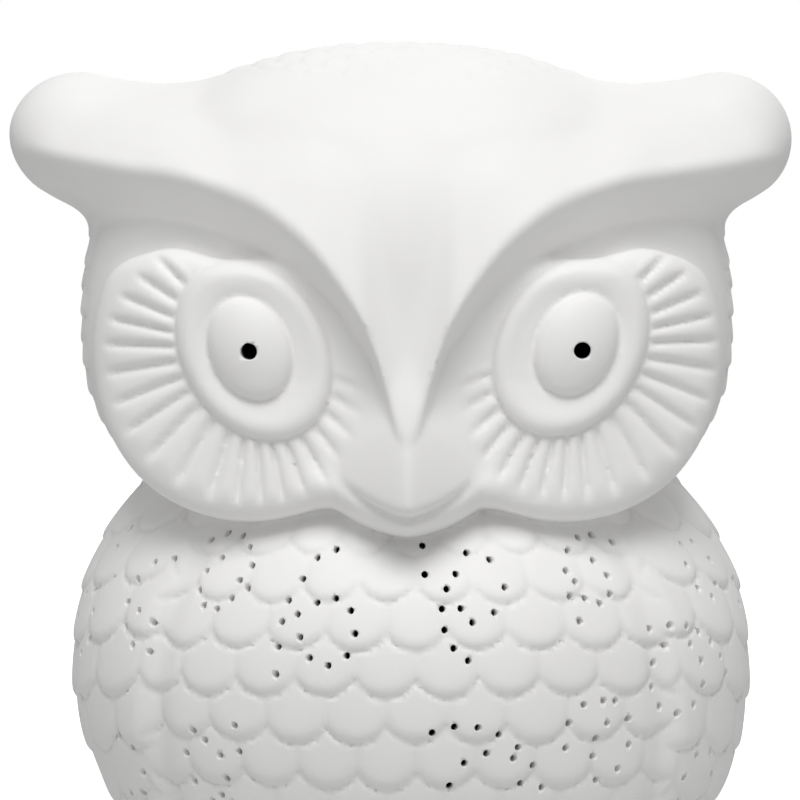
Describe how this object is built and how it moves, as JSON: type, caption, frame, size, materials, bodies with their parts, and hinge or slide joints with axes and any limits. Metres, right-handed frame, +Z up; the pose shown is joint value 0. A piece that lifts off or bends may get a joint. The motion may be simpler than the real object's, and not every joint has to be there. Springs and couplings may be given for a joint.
{
  "type": "owl accent lamp",
  "caption": "Hollow pierced porcelain owl that lifts off a low round base with a small screw lampholder and filament lamp.",
  "frame": {"origin": "middle of the footprint on the surface the rubber feet stand on", "axes": "+Z up, the owl's face looks along -Y, +X to the right when facing the owl"},
  "size_m": [0.2148, 0.162, 0.235],
  "materials": {
    "porcelain": "matte bisque",
    "white_plastic": "satin",
    "grey_rubber": "matte",
    "silicone": "matte",
    "zinc_steel": "zinc plated",
    "brass": "bright",
    "nickel": "nickel plated",
    "phenolic": "satin",
    "steatite": "matte",
    "clear_glass": "clear",
    "stem_glass": "clear",
    "led_phosphor": "matte"
  },
  "bodies": {
    "base": {"base_pan": "white_plastic", "base_cover": "white_plastic", "cover_screw_right": "zinc_steel", "cover_screw_left": "zinc_steel", "cover_screw_front": "zinc_steel", "rubber_foot_front_right": "grey_rubber", "rubber_foot_rear_right": "grey_rubber", "rubber_foot_rear_left": "grey_rubber", "rubber_foot_front_left": "grey_rubber", "seat_pad_right": "silicone", "seat_pad_rear": "silicone", "seat_pad_front": "silicone", "cord_grommet": "grey_rubber", "threaded_nipple": "zinc_steel", "nipple_washer": "zinc_steel", "nipple_lock_nut": "brass", "holder_cap": "phenolic", "holder_sleeve": "phenolic", "contact_carrier": "steatite", "terminal_screw_live": "brass", "terminal_screw_neutral": "brass", "screw_shell_contact": "brass", "centre_contact_spring": "brass"},
    "owl_shell": {"porcelain_owl_shell": "porcelain"},
    "lamp_foot": {"lamp_contact_tip": "zinc_steel", "lamp_insulator": "phenolic"},
    "lamp": {"lamp_screw_cap": "nickel", "lamp_glass": "clear_glass", "lamp_stem": "stem_glass", "led_filament_right": "led_phosphor", "led_filament_rear": "led_phosphor", "led_filament_left": "led_phosphor", "led_filament_front": "led_phosphor"}
  },
  "joints": [
    {"name": "shell_lift", "type": "slide", "parent": "base", "child": "owl_shell", "axis": [0, 0, 1], "range_m": [0, 0.14]},
    {"name": "lamp_travel", "type": "slide", "parent": "base", "child": "lamp_foot", "axis": [0, 0, 1], "range_m": [0, 0.00988]},
    {"name": "lamp_unscrew", "type": "hinge", "parent": "lamp_foot", "child": "lamp", "pos_m": [0, 0, 0.06], "axis": [0, 0, 1], "range_deg": [0, 1260]}
  ],
  "couplings": [
    {"joint": "lamp_travel", "follows": "lamp_unscrew", "m_per_rad": 0.00044913}
  ]
}
